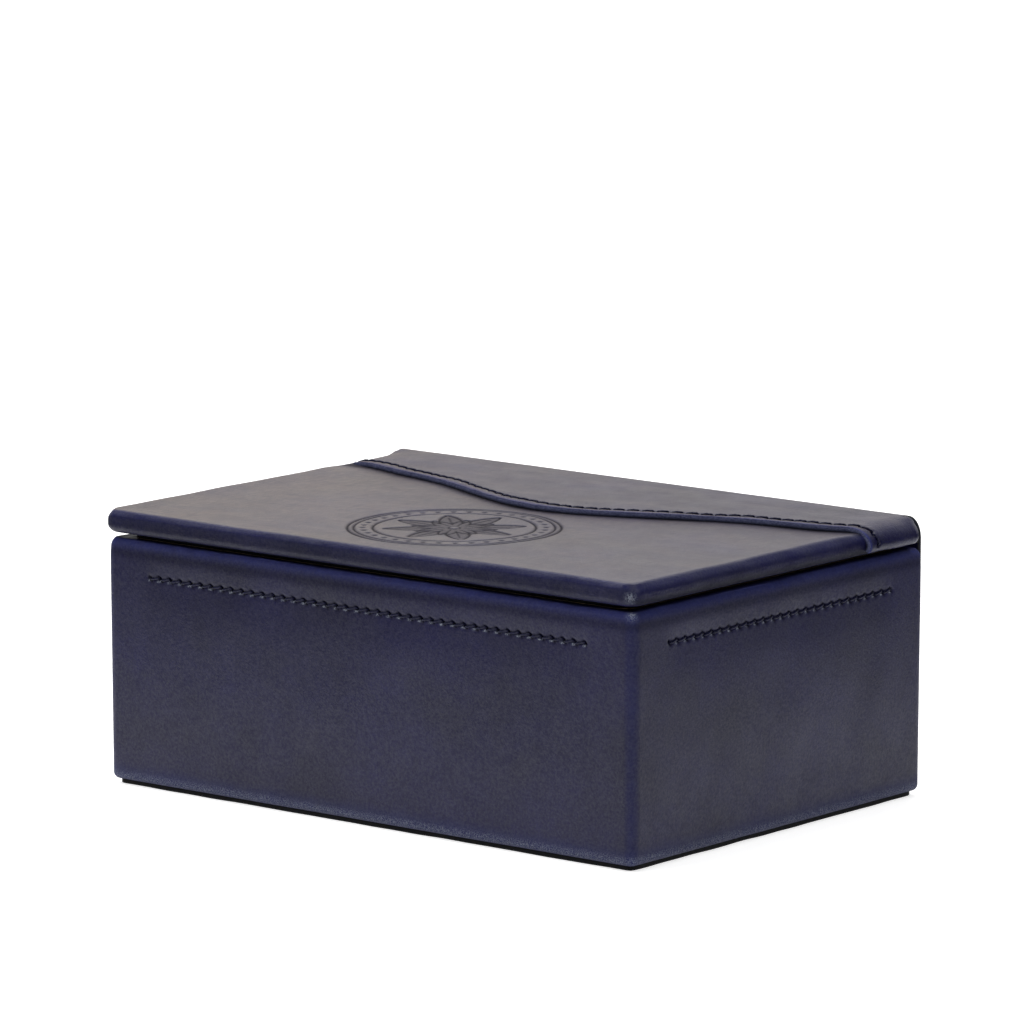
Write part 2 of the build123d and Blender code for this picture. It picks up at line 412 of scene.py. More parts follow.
def navy_leather(name, roughness, specular, grain=0.6, haze=0.0):
    """Waxed navy leather: cloudy dye, fine grain, bluer with wear and at painted highlights, pale where
    rubbed through and at painted glints, near black at painted shade and at seams and tooling, and a waxy
    sheen that is partly painted sheen where marked.
    """
    nodes = Nodes(name)
    clouds = nodes.spread(nodes.noise(34, 5, 0.6), 0.35, 0.68)
    mottle = nodes.spread(nodes.noise(3.2, 4, 0.65), 0.35, 0.7)
    base = nodes.blend(clouds, navy_dark, navy)
    base = nodes.blend(nodes.times(mottle, 0.42), base, navy_dark)
    speckle = nodes.spread(nodes.noise(0.7, 3, 0.7), 0.35, 0.65)
    base = nodes.blend(nodes.times(speckle, 0.5), base, navy_dark)
    # Bluer along edges: wear, and on the body's rim roll, upright corners and foot also a painted highlight.
    wear_and_highlight = nodes.times(nodes.mark("edge"), nodes.spread(mottle, 0, 1, 0.6, 1.0))
    base = nodes.blend(wear_and_highlight, base, navy_wear_and_highlight)
    # Near black at painted shade: stitch holes, under the rim, before the hinge leather's edge, the lid's
    # lower sides and the slots; also the dark back seam and tooled lines.
    base = nodes.blend(nodes.times(nodes.mark("deep"), 0.9), base, near_black)
    # Pale where the leather is rubbed through, and at painted highlights: glints below the stitch holes and a
    # band along the body's foot.
    flecks = nodes.spread(nodes.noise(0.4, 4, 0.75), 0.46, 0.6)
    raw = nodes.times(nodes.mark("raw"), flecks)
    base = nodes.blend(raw, base, pale_raw_and_highlight)
    streaks = nodes.noise(2.2, 3, 0.5, stretch=(10, 1, 1))
    polish = nodes.spread(nodes.noise(9, 4, 0.6), 0.3, 0.7, roughness - 0.04, roughness + 0.05)
    polish = nodes.times_add(streaks, 0.08, polish)
    polish = nodes.times_add(speckle, 0.06, polish)
    polish = nodes.times_add(raw, 0.3, polish)
    polish = nodes.times_add(nodes.mark("edge"), 0.55, polish)
    polish = nodes.times_add(nodes.mark("deep"), 0.35, polish)
    # Less shine at painted shade.
    shine = nodes.times_add(nodes.mark("deep"), -0.85 * specular, specular)
    shine = nodes.times(shine, nodes.spread(nodes.noise(1.0, 3, 0.7), 0.35, 0.65, 0.72, 1.28))
    normal = nodes.bump(leather_grain(nodes), grain, 0.16)
    if not haze:
        return nodes.surface(base, polish, normal, shine)
    smears = nodes.spread(nodes.noise(11, 4, 0.6, stretch=(3.5, 1, 1)), 0.3, 0.7, 0.84, 1.14)
    dust = nodes.spread(nodes.noise(1.3, 3, 0.7, stretch=(1, 3, 1)), 0.35, 0.65, 0.82, 1.14)
    drift = nodes.spread(nodes.noise(7, 6, 0.7), 0.3, 0.7, 0.84, 1.12)
    # Sheen of the waxy finish where marked; the marks put it only on upward faces and more to the left, which
    # is painted sheen.
    wax_and_painted_sheen_level = nodes.times(nodes.mark("haze"), drift)
    wax_and_painted_sheen_level = nodes.times(wax_and_painted_sheen_level, nodes.times(smears, dust))
    return nodes.surface(
        base, polish, normal, shine, Sheen_Weight=nodes.times(wax_and_painted_sheen_level, haze), Sheen_Roughness=0.35,
        Sheen_Tint=colour((255, 237, 221)))


def cut_leather():
    """The cut edge of the heavy hinge leather, left unfinished: fibrous, blue grey and matt, near black at
    painted shade and with a painted shadow along its foot.
    """
    nodes = Nodes("cut_edge_leather")
    fibres = nodes.noise(0.5, 5, 0.7, stretch=(1.6, 1.6, 0.5))
    base = nodes.blend(nodes.spread(fibres, 0.35, 0.65), (48, 52, 88), (110, 114, 146))
    # Painted shade: near black where marked, as on the strip's cut sides in the slots.
    base = nodes.blend(nodes.mark("deep"), base, near_black)
    # Painted shadow: the lowest part of the cut edge, where it stands on the lid, is near black.
    foot = nodes.times(nodes.spread(nodes.mark("under"), 0.45, 0.9), 0.9)
    base = nodes.blend(foot, base, near_black)
    return nodes.surface(base, 0.8, nodes.bump(fibres, 0.8, 0.25), 0.2)


def soft_lining():
    """Natural lining leather with a fine nap."""
    nodes = Nodes("natural_lining")
    cloud = nodes.spread(nodes.noise(24, 4, 0.6), 0.3, 0.7)
    nap = nodes.noise(0.35, 5, 0.7)
    base = nodes.blend(cloud, (184, 158, 120), (206, 182, 146))
    base = nodes.blend(nodes.times(nodes.spread(nap, 0.35, 0.7), 0.4), base, (146, 118, 84))
    # Painted shade: near black on the lid pad's sides, so the gap under the lid reads dark.
    base = nodes.blend(nodes.times(nodes.mark("edge"), 1.0), base, (4, 4, 6))
    return nodes.surface(
        base, 0.85, nodes.bump(nap, 0.45, 0.15), 0.2, Sheen_Weight=0.12, Sheen_Roughness=0.5)


def sole_leather():
    nodes = Nodes("sole_leather")
    # Near black: dark sole leather, painted darker still as the shade in the slit under the box.
    base = nodes.blend(nodes.spread(nodes.noise(4, 4, 0.6), 0.3, 0.7), (5, 5, 8), (11, 11, 17))
    return nodes.surface(base, 0.62, nodes.bump(leather_grain(nodes, 1.3), 0.4, 0.15), 0.15)


def waxed_thread():
    """Dark waxed thread with a soft shine."""
    nodes = Nodes("waxed_thread")
    fibres = nodes.noise(0.14, 3, 0.6)
    base = nodes.blend(nodes.spread(fibres, 0.3, 0.7), (11, 11, 34), (27, 29, 64))
    return nodes.surface(base, 0.35, nodes.bump(fibres, 0.3, 0.05), 0.25)


def loose_fibre():
    nodes = Nodes("loose_fibre")
    tone = nodes.noise(0.6, 3, 0.6)
    base = nodes.blend(nodes.spread(tone, 0.3, 0.7), (96, 100, 122), (186, 190, 202))
    return nodes.surface(base, 0.7, nodes.bump(tone, 0.2, 0.05), 0.3)


def birch_board():
    """Plywood under the leather."""
    nodes = Nodes("birch_board")
    rings = nodes.noise(6, 4, 0.6, stretch=(8, 1, 1))
    base = nodes.blend(nodes.spread(rings, 0.3, 0.7), (176, 146, 104), (150, 118, 80))
    return nodes.surface(base, 0.7, nodes.bump(rings, 0.3, 0.1), 0.3)


wall_leather = navy_leather("wall_leather", 0.34, 0.42, grain=0.45)
top_leather = navy_leather("lid_leather", 0.27, 0.4, grain=0.6, haze=0.86)
strap_leather = navy_leather("hinge_leather", 0.3, 0.4, grain=0.6, haze=0.6)
cut_edge = cut_leather()
lining = soft_lining()
sole = sole_leather()
thread = waxed_thread()
fibre = loose_fibre()
board = birch_board()


# Leather round the body

body_fray = (half_x - 1.6, -half_y + 1.6, rim - 0.4)
lid_fray = (lid_half_x - 2.2, lid_low[1] + 1.0, lid_under + 3.2)
wall_wobble = waves(3, 18, 90)
rim_wobble = waves(5, 9, 60)
fray_wobble = waves(7, 0.8, 2.2, 20)
wall_fullness = 0.4
wall_taper = 0.5
rim_lean = 0.3
seam_width = 0.3
row_band = 3.6
body_fray_width = 1.7
lid_fray_width = 1.6


def raw_spot(points, middle, width):
    """Where a folded corner is rubbed through to the pale leather."""
    return bell(np.linalg.norm(points - np.array(middle), axis=-1), width)


def row_pitch(half_span):
    """The pitch of a straight row: the stitch pitch, shortened so that whole stitches fill the row."""
    return 2 * half_span / ceil(2 * half_span / stitch_pitch - 1e-9)


def hole_shape(along, across, half_span):
    """How far a row's holes draw the leather in, the painted shade in them and above the thread, and the
    painted glint at the lip of each.
    """
    pitch = row_pitch(half_span)
    inside = ease(half_span + pitch * 0.62 - np.abs(along), -0.5, 0.5)
    phase = (along + half_span + pitch / 2) / pitch
    off_hole = (phase - np.round(phase)) * pitch
    slit = (off_hole + across * 0.7) / 0.66
    hole = np.exp(-slit ** 2 - (across / 1.05) ** 2)
    pucker = bell(across, 2.2) * (0.5 + 0.5 * np.cos(2 * pi * off_hole / pitch))
    depth = inside * (0.7 * hole + 0.2 * bell(across, 0.8) + 0.1 * pucker)
    shade = inside * np.clip(1.9 * hole + 0.3 * bell(across - 0.4, 0.4), 0, 1)
    lip = inside * bell(off_hole + 0.7, 0.6) * bell(across + 0.8, 0.36)
    return depth, shade, lip


def drawn_in(along, across, half_span):
    """How far a wall's row draws in the leather round it, over a wider stretch below the row than above."""
    reach = np.where(across < 0, 9.0, 5.0)
    return 0.42 * ease(half_span - np.abs(along), -9, 5) * bell(across, reach)


def wall_swell(point, share_along, height):
    """How far a wall stands out from flat: a soft fullness that fades towards its ends, rim and foot."""
    share = np.clip((height - body_low) / (rim - body_low), 0, 1)
    full = wall_fullness * share_along * np.sin(pi * share)
    return full + 0.1 * wall_wobble(point) * share_along


def make_body_wrap():
    """Outer leather of the body: hem inside the rim, rolled rim, slightly full walls, turned-under foot."""
    outer = run((wall_thickness, rim - rim_hem_depth), (wall_thickness, rim - rim_inner_round), 1.5)
    outer += bend((wall_thickness - rim_inner_round, rim - rim_inner_round), rim_inner_round, 180, 90, 5)
    outer += run((wall_thickness - rim_inner_round, rim), (rim_round, rim), 0.9)[1:]
    outer += bend((rim_round, rim - rim_round), rim_round, 90, 0, 9)
    outer += run((0, rim - rim_round), (0, row_height + row_band), 0.8)[1:]
    outer += run((0, row_height + row_band), (0, row_height - row_band), 0.24)
    outer += run((0, row_height - row_band), (0, foot_low + foot_round), 1.6)
    outer += bend((foot_round, foot_low + foot_round), foot_round, 0, -90, 8)
    outer += run((foot_round + 0.2, body_low), (bottom_hem_width, body_low), 3.5)
    outer.append((bottom_hem_width, body_low))
    hidden = [
        (bottom_hem_width, body_low + hem_leather), (leather, body_low + hem_leather),
        (leather, rim - leather), (wall_thickness - hem_leather, rim - leather),
        (wall_thickness - hem_leather, rim - rim_hem_depth)]
    profile = np.array([tuple(p) for p in outer] + hidden)
    side = side_steps(2 * half_y, 0.6)
    back = side_steps(2 * half_x, 1.2, (half_x - 1.5, half_x + 1.5), 0.12)
    stations = ring_stations((side_steps(2 * half_x, 0.6), side, back, side))
    normals = stations[1]
    inset = profile[:, :1]
    points = sweep(stations, (half_x, half_y), corner_radius, inset, profile[:, 1:])
    x, y, z = np.moveaxis(points, -1, 0)
    drawn = (np.arange(len(profile)) < len(outer))[:, None]
    face = ease(-inset, -3.2, -0.5) * (z < rim - 0.2) * drawn
    on_long = np.abs(normals[:, 1]) > 0.999
    on_short = np.abs(normals[:, 0]) > 0.999
    middle = np.where(on_short, 1 - (y / half_y) ** 2, 0)
    middle = np.where(on_long, 1 - (x / half_x) ** 2, middle).clip(0, 1)
    push = wall_swell(points, middle, z) * face
    on_face = (inset < 0.01) & (np.abs(z - row_height) < 6) & drawn
    deep = np.zeros_like(z)
    glint = np.zeros_like(z)
    walls = (
        (normals[:, 1] < -0.999, x, front_row_half),
        (normals[:, 0] > 0.999, y, side_row_half),
        (normals[:, 0] < -0.999, -y, side_row_half))
    for chosen, along, half_span in walls:
        # Each row: holes drawn in, painted shade in them and painted glints below them.
        depth, shade, lip = hole_shape(along, z - row_height, half_span)
        here = chosen[None] & on_face
        push -= np.where(here, depth, 0)
        glint = np.where(here, lip, glint)
        push -= np.where(chosen[None], drawn_in(along, z - row_height, half_span) * face, 0)
        deep = np.where(here, shade, deep)
    seam = bell(x, seam_width) * (normals[:, 1] > 0.999) * face
    raw = raw_spot(points, body_fray, body_fray_width) * drawn
    share = ((z - body_low) / (rim - body_low)).clip(0, 1)
    push -= 0.5 * seam + wall_taper * (1 - share) * (inset < foot_round + 0.3) * drawn
    push += 0.16 * raw * fray_wobble(points) - rim_lean * ease(z, rim - 7, rim - 1) * face
    points[..., :2] += normals * push[..., None]
    roll = bell(z - rim, 2.2) * ease(-inset, -4.5, -2.0) * drawn
    points[..., 2] += 0.12 * rim_wobble(points) * roll
    # Wear and painted highlight: bluer on the rim's roll, the foot and the upright corners.
    rim_edge = 0.8 * bell(inset - 1.2, 2.0) * ease(z, rim - 4.5, rim - 1.0)
    foot_edge = 0.35 * ease(-z, -body_low - 7, -body_low - 1)
    # Painted highlight: a pale band along the roll of the foot.
    painted_foot_highlight = 0.42 * ease(-z, -foot_low - 4.5, -foot_low - 1.5) * ease(z, foot_low, foot_low + 0.8)
    # Painted shade: darker just below the rim, under the lid's overhang.
    painted_shade_under_rim = 0.3 * bell(z - rim + 4.4, 1.8) * (inset < 0.1) * drawn
    turned = np.abs(normals[:, 0] * normals[:, 1])
    corner_edge = 0.5 * turned[None] * (inset < 1)
    count = points.shape[1]
    faces = grid_faces(len(profile) + 1, count, closed=True, flip=True) % (len(profile) * count)
    # Pale where the corner is rubbed through, with painted highlights along the foot and below each stitch
    # hole.
    raw = np.maximum(raw, painted_foot_highlight * drawn * (inset < 2))
    shape = Shape()
    shape.add(
        points, faces, edge=np.clip(rim_edge + foot_edge + corner_edge, 0, 1),
        deep=np.clip(deep + 0.9 * seam + painted_shade_under_rim, 0, 1), raw=np.maximum(raw, 1.2 * glint))
    shape.make("body_leather_wrap", "box_body", [wall_leather], ("body_wrap",))


# Leather over the lid

lid_wobble = waves(11, 25, 120)
ornament_middle = np.array((0.0, -32.0))
ornament_radius = 36.2
bead_count = 36
tool_depth = 0.42
border_lift = 0.5


def ornament(x, y):
    """Blind tooling: two rings, a row of beads, an inner ring and an eight-leaf rosette."""
    across = x - ornament_middle[0]
    away = y - ornament_middle[1]
    radius = np.hypot(across, away)
    angle = np.arctan2(away, across)
    lines = bell(radius - ornament_radius, 0.62) + bell(radius - ornament_radius + 2.1, 0.5)
    bead = (angle * bead_count / (2 * pi) + 0.5) % 1 - 0.5
    bead_ring = ornament_radius - 5.2
    lines = lines + bell(np.hypot(bead * 2 * pi * bead_ring / bead_count, radius - bead_ring), 0.95)
    inner = ornament_radius - 8.6
    lines = lines + bell(radius - inner, 0.58)
    for length, turn in ((inner - 3.0, 0.0), (inner * 0.55, pi / 8)):
        part = ((angle + turn) * 8 / (2 * pi) + 0.5) % 1 - 0.5
        side = np.abs(part) * 2 * pi / 8 * radius
        reach = radius / length
        width = 4.2 * np.sin(pi * np.clip(reach, 0, 1)) ** 0.8 * sqrt(length / inner)
        leaf = np.where(side < width, 0.42, 0) + 0.58 * bell(side - width, 0.55)
        leaf = np.maximum(leaf, bell(side - width, 0.55)) * (reach < 1) * (reach > 0.12)
        vein = 0.9 * bell(side, 0.42) * (reach < 0.8) * (reach > 0.25)
        lines = np.maximum(lines, np.maximum(leaf, vein))
    return np.clip(np.maximum(lines, bell(radius - 2.0, 0.45)), 0, 1)


def painted_left_light(x):
    """Painted light: the sheen on the lid is made stronger towards the left, nearer the front left lamp."""
    return 1 - 0.38 * x / lid_half_x


def make_lid_cover():
    """Leather over the lid: hem, rolled edges, and a top with blind tooling that rises to its border."""
    flat_inset = lid_corner + 0.5
    inner_x = lid_half_x - flat_inset
    inner_y = lid_half_y - flat_inset
    start_y = ornament_middle[1] - lid_middle_y + inner_y
    front = side_steps(2 * inner_x, 1.0, (inner_x - ornament_radius - 2, inner_x + ornament_radius + 2), 0.4)
    side = side_steps(2 * inner_y, 1.0, (start_y - ornament_radius - 2, start_y + ornament_radius + 2), 0.4)
    stations = ring_stations((front, side, 1 - front[::-1], 1 - side[::-1]))
    normals = stations[1]
    high = lid_front_round + (lid_side_round - lid_front_round) * ease(np.abs(normals[:, 0]), 0.1, 0.9)
    low = lid_low_round
    rows = [(inset, lid_under) for inset in np.linspace(lid_hem_width, low, 5)[:-1]]
    low_turns = np.radians(np.linspace(-90, 0, 11))
    high_turns = np.radians(np.linspace(0, 90, 11))
    rows += [(low * (1 - cos(t)), lid_under + low * (1 + sin(t))) for t in low_turns]
    rows += [(0, lid_under + low + share * (lid_top - high - lid_under - low)) for share in (0.25, 0.5, 0.75)]
    rows += [(high * (1 - cos(t)), lid_top - high * (1 - sin(t))) for t in high_turns]
    rows += [(high + share * (flat_inset - high), lid_top) for share in (0.33, 0.67, 1.0)]
    insets = np.array([np.broadcast_to(inset, high.shape) for inset, _ in rows])
    heights = np.array([np.broadcast_to(height, high.shape) for _, height in rows])
    edge_part = sweep(stations, (lid_half_x, lid_half_y), lid_corner, insets, heights, lid_middle_y)
    flat_grid = np.meshgrid((2 * front - 1) * inner_x, (2 * side - 1) * inner_y + lid_middle_y)
    flat_part = np.stack(flat_grid, axis=-1)
    flat_part = np.concatenate([flat_part, np.full(flat_part.shape[:2] + (1,), lid_top)], axis=-1)
    shape = Shape()
    for points, closed in ((edge_part, True), (flat_part, False)):
        x, y, z = np.moveaxis(points.copy(), -1, 0)
        from_edge = np.minimum(lid_half_x - np.abs(x), lid_half_y - np.abs(y - lid_middle_y))
        on_top = ease(z, lid_top - 1.2, lid_top)
        tooled = ornament(x, y) * on_top
        in_front = tongue_edge(x, np.zeros_like(x)) - y
        raw = raw_spot(points, lid_fray, lid_fray_width)
        if closed:
            on_side = ease(z, lid_under + 0.5, lid_under + 2.5) * (1 - on_top)
            push = 0.12 * rim_wobble(points * np.array([1, 1, 0.3])) * on_side
            push += 0.16 * raw * fray_wobble(points)
            points[..., :2] += normals * push[..., None]
        border = border_lift * bell(from_edge, 8.0) * ease(in_front, 0, 12)
        lift = 0.12 * lid_wobble(np.stack([x, y, 0 * z], axis=-1)) + border
        points[..., 2] += lift * on_top - tool_depth * tooled
        # Painted shade: darker, with less shine, low on the lid's ends, down its front and back sides, and at
        # the corners beyond the hinge strip.
        at_end = ease(np.abs(x), lid_half_x - 3, lid_half_x - 0.5)
        shaded = 0.75 * at_end * ease(-z, -lid_under - 3.8, -lid_under - 1.4)
        shaded += 0.32 * (1 - at_end) * ease(-z, 1.0 - lid_top, 2.0 - lid_top)
        shaded = np.maximum(shaded, ease(y, 67, 70) * (1 - on_top) * (np.abs(x) > hinge_half))
        edge = 0.2 * bell(from_edge - 0.7, 1.6) * ease(z, lid_top - 4.2, lid_top - 1.0) * (z < lid_top - 0.05)
        # Painted shadow: darker, with less sheen, in front of the hinge leather's edge.
        painted_contact_shadow = bell(np.clip(in_front, 0, None), 3.0)
        # Sheen only on the top face, less on tooling and stronger to the left: partly painted sheen.
        haze = ease(z, lid_top - 0.4, lid_top) * (1 - 0.9 * tooled) * (1 - 0.8 * painted_contact_shadow) * painted_left_light(x)
        deep = np.maximum(np.maximum(tooled, 0.8 * painted_contact_shadow * on_top), shaded)
        shape.add(points, grid_faces(*z.shape, closed=closed), edge=edge, deep=deep, raw=raw, haze=haze)
    shape.make("lid_leather_cover", "lid", [top_leather], ("lid_cover",), weld=True)


# Hinge leather: one sheet from the tongue on the lid, over both lid ends and the back edge, down the back

left_roll = 20.0
right_roll = 9.5
roll_drop = overlay_top - flap_widest_height
under_roll = 3.0
under_turn = radians(52)
strip_start = 71.0
bend_start = hinge_face - hinge_bend
overlay_row_inset = 4.5
flap_curl = 6.0
flap_middle_height = 91.6
flap_half_height = 5.9
flap_bulge = 4.4
overlay_row_reach = 106.65
overlay_pitch = row_pitch(overlay_row_reach)
stitches_each_way = 25
strap_row_half = overlay_pitch * stitches_each_way
strap_wobble = waves(17, 14, 70)
cut_wobble = waves(19, 1.6, 9, 20)


def roll_table(width):
    """Sheet profile over one lid end: distance along the leather, place across and drop, as columns."""
    turns = np.linspace(0, pi / 2, 60)
    unders = np.linspace(0, under_turn, 20)[1:]
    across = np.concatenate([
        flap_reach - width * (1 - np.sin(turns)), flap_reach - under_roll * (1 - np.cos(unders))])
    drop = np.concatenate([roll_drop * (1 - np.cos(turns)), roll_drop + under_roll * np.sin(unders)])
    steps = np.hypot(np.diff(across), np.diff(drop))
    along = flap_reach - width + np.concatenate([[0], np.cumsum(steps)])
    return along, across, drop


roll_tables = {-1: roll_table(left_roll), 1: roll_table(right_roll)}


def rolled(along):
    """Place across the lid and drop below the flat top, from the distance along the leather."""
    across = np.array(along, float)
    drop = np.zeros_like(across)
    for side, (table_along, table_across, table_drop) in roll_tables.items():
        here = along * side > table_along[0]
        across = np.where(here, side * np.interp(np.abs(along), table_along, table_across), across)
        drop = np.where(here, np.interp(np.abs(along), table_along, table_drop), drop)
    return across, drop


def tongue_edge(across, drop):
    """How far back the sheet's front edge lies: a wide tongue, swept back a little down the lid's ends."""
    edge = tongue_side - tongue_reach * np.exp(-((across - tongue_middle) / tongue_spread) ** 2)
    left_sweep = np.minimum(2.4 * drop ** 0.8, 9.0) * (across < 0)
    return edge + 4.2 * ease(across, 96, 117) + 3.0 * ease(-across, 80, 104) + left_sweep


def strap_point(along, behind):
    """A point of the sheet's outer face, from its place along the leather and behind the front edge."""
    across, drop = rolled(along)
    return np.stack([across, tongue_edge(across, drop) + behind, overlay_top - drop], axis=-1)


def unroll(along, across, drop, depth, near):
    """Lets the rolled sheet lie flat again towards the back edge; gives place across and height."""
    share = ease(depth, 66.5, 73.5) * near
    return across + (along - across) * share, overlay_top - drop * (1 - share)


def strap_rows(along, across, drop):
    """Rows of the sheet from its front edge to where strip and flaps part, closest near the stitches."""
    behind = np.array([0, 0.3, 0.7, 1.2, 1.8, 2.4, 2.9, *np.arange(3.2, 6.0, 0.26), 6.4, 7.0, 7.8, 8.8, 10.0])
    edge = tongue_edge(across, drop) + 0.1 * cut_wobble(along[:, None] * np.array([1.0, 0, 0]))
    shares = np.linspace(0, 1, 34)[1:, None]
    depths = np.concatenate([
        edge + behind[:, None], (1 - shares) * (edge + behind[-1]) + shares * strip_start])
    return depths, edge


def back_strip(along, across, drop):
    """Rows of the strip that bends over the lid's back edge and hangs down the back wall."""
    turns = np.radians(np.linspace(0, 90, 25)[1:])
    down = np.linspace(overlay_top - hinge_bend, hinge_end, 44)[1:]
    depth = np.concatenate([
        np.linspace(strip_start, bend_start, 4)[1:], bend_start + hinge_bend * np.sin(turns),
        np.full(len(down), hinge_face)])[:, None]
    below = np.concatenate([np.zeros(3), hinge_bend * (1 - np.cos(turns)), overlay_top - down])[:, None]
    depth = np.broadcast_to(depth, (len(depth), len(along)))
    places, heights = unroll(along, across, drop, depth, 1.0)
    return places, depth, heights - below


def flap_end(along, across, drop, near):
    """Rows of a flap behind the strip's corner: the flap is cut round and curls in round the lid's corner."""
    height = overlay_top - drop
    bulge = np.sqrt(np.clip(1 - ((height - flap_middle_height) / flap_half_height) ** 2, 0, 1))
    share = np.linspace(0, 1, 12)[1:, None]
    turn = share * np.arcsin(np.clip((0.2 + flap_bulge * bulge) / flap_curl, 0, 0.97))
    curl = flap_curl + (1 - share) * bulge
    depth = strip_start + curl * np.sin(turn)
    places, heights = unroll(along, across, drop, np.full(depth.shape, strip_start), near)
    lean = (flap_curl + bulge - curl * np.cos(turn)) * ease(drop, 0.2, 3.0)
    slit = 0.35 * ease(share, 0, 0.4) * near
    return places + np.sign(along) * (slit - lean), depth, heights


def make_hinge_leather():
    """The whole hinge leather as one bent sheet with cut edges."""
    shape = Shape()
    parts = (
        (0, np.linspace(-hinge_half, hinge_half, 372)),
        (-1, np.linspace(-roll_tables[-1][0][-1], -hinge_half, 22)),
        (1, np.linspace(hinge_half, roll_tables[1][0][-1], 22)))
    for side, along in parts:
        across, drop = rolled(along)
        near = bell(np.abs(along) - hinge_half, 2.5) if side else 1.0
        depths, edge = strap_rows(along, across, drop)
        places, heights = unroll(along, across, drop, depths, near)
        more = flap_end(along, across, drop, near) if side else back_strip(along, across, drop)
        points = np.stack([
            np.concatenate([places, more[0]]), np.concatenate([depths, more[1]]),
            np.concatenate([heights, more[2]])], axis=-1)
        from_front = points[..., 1] - edge
        span = np.broadcast_to(along, from_front.shape)
        draw, shade, _ = hole_shape(span, from_front - overlay_row_inset, strap_row_half)
        on_row = from_front < 9.5
        slope = np.gradient(points, axis=1)
        normal = np.stack([-slope[..., 2], np.zeros(from_front.shape), slope[..., 0]], axis=-1)
        normal /= np.linalg.norm(normal, axis=-1, keepdims=True)
        calm = ease(-points[..., 1], -76, -72) * ease(from_front, 0, 3)
        lift = 0.12 * strap_wobble(points) * calm - draw * on_row
        down_row = (points[..., 2] < rim - 4) & (side == 0) & (points[..., 1] > half_y)
        draw_back, shade_back, _ = hole_shape(-points[..., 0], points[..., 2] - row_height, front_row_half)
        points = points + normal * lift[..., None]
        points[..., 1] -= 0.8 * draw_back * down_row
        # Painted shade in the stitch holes of both rows.
        deep = np.where(on_row, 0.55 * shade, shade_back * down_row)
        # Painted shade: near black on the strip's cut sides in the slots.
        cut_side = (side == 0) & (np.abs(along) > hinge_half - 0.3) & (points[..., 1] > strip_start + 1)
        # Sheen on upward faces only, stronger to the left: partly painted sheen.
        haze = ease(normal[..., 2], 0.75, 0.97) * ease(-points[..., 1], 1 - hinge_face, -bend_start)
        shape.add(
            points, grid_faces(*from_front.shape), edge=np.clip(0.9 * bell(from_front - 0.3, 0.8), 0, 1),
            deep=np.where(cut_side, 0.9, deep), raw=0.0, haze=haze * painted_left_light(points[..., 0]))
    item = shape.make(
        "hinge_leather_sheet", None, [strap_leather, cut_edge],
        ("hinge_overlay", "hinge_back"), weld=True, thick=hinge_leather - 0.05)
    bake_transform(item)


# Stitches

thread_radius = 0.37
stitch_slant = radians(12)
thread_sides = 12
stitch_share = 0.8


def tube(shape, centre, across, radius):
    """A closed tube round a line of points; across is a direction square to the line's plane."""
    tangent = np.gradient(centre, axis=0)
    tangent /= np.linalg.norm(tangent, axis=1, keepdims=True)
    side = np.cross(tangent, across)
    side /= np.linalg.norm(side, axis=1, keepdims=True)
    other = np.cross(side, tangent)
    count = radius.shape[1]
    turns = np.linspace(0, 2 * pi, count, endpoint=False)[None, :, None]
    ring = np.cos(turns) * side[:, None] + np.sin(turns) * other[:, None]
    points = centre[:, None] + radius[..., None] * ring
    faces = grid_faces(len(centre), count, closed=True, flip=True).tolist()
    faces.append(list(range(count)))
    faces.append([len(centre) * count - 1 - index for index in range(count)])
    shape.add(points, faces)


def stitch(shape, middle, along, up, outward, length):
    """One stitch of two-ply thread that rises from a hole, lies slanted and dives into the next."""
    along = along * cos(stitch_slant) + up * sin(stitch_slant)
    u = np.linspace(-1, 1, 17)
    reach = np.sin(u * pi / 2 * 0.98) * length / 2
    rise = 0.12 - 1.15 * np.abs(u) ** 7 - 0.15 * u ** 2
    centre = middle + reach[:, None] * along + rise[:, None] * outward
    turns = np.linspace(0, 2 * pi, thread_sides, endpoint=False)
    ply = 1 + 0.13 * np.cos(2 * (turns[None] - reach[:, None] * 1.7))
    tube(shape, centre, np.cross(outward, along), thread_radius * (1 - 0.12 * u[:, None] ** 4) * ply)


def make_wall_stitches(wall, face, outward, half_span, half_wall, seed, full=1.0):
    """A straight row on a wall, one stitch between each two holes."""
    shape = Shape()
    outward = np.array(outward, float)
    up = np.array((0, 0, 1.0))
    along = np.cross(up, outward)
    pitch = row_pitch(half_span)
    random = np.random.default_rng(seed)
    for place in np.linspace(-half_span, half_span, round(2 * half_span / pitch) + 1):
        middle = outward * face + along * place + up * (row_height + random.normal(0, 0.04))
        swell = full * wall_swell(middle, 1 - (place / half_wall) ** 2, row_height)
        taper = full * wall_taper * (1 - (row_height - body_low) / (rim - body_low))
        taper += full * drawn_in(place, 0.0, half_span)
        middle = middle + outward * (swell - taper - 0.12)
        length = pitch * (stitch_share + random.normal(0, 0.015))
        stitch(shape, middle, along, up, outward, length)
    shape.make(wall + "_stitches", "box_body", [thread], (wall + "_stitching",), sharp=60)


def make_tongue_stitches():
    """The row that follows the tongue, over the lid's edge at each end."""
    shape = Shape()
    random = np.random.default_rng(23)
    for place in np.arange(-stitches_each_way, stitches_each_way + 1) * overlay_pitch:
        before, middle, after = strap_point(np.array([place - 0.5, place, place + 0.5]), overlay_row_inset)
        behind = strap_point(np.array([place]), overlay_row_inset + 0.5)[0] - middle
        along = (after - before) / np.linalg.norm(after - before)
        outward = np.cross(along, behind)
        outward /= np.linalg.norm(outward)
        middle = middle + outward * (0.12 * strap_wobble(middle) - 0.02)
        length = overlay_pitch * (stitch_share + random.normal(0, 0.015))
        stitch(shape, middle, along, np.cross(outward, along), outward, length)
    shape.make("tongue_stitches", "lid", [thread], ("overlay_stitching",), sharp=60)


# Linings, lid pad and sole

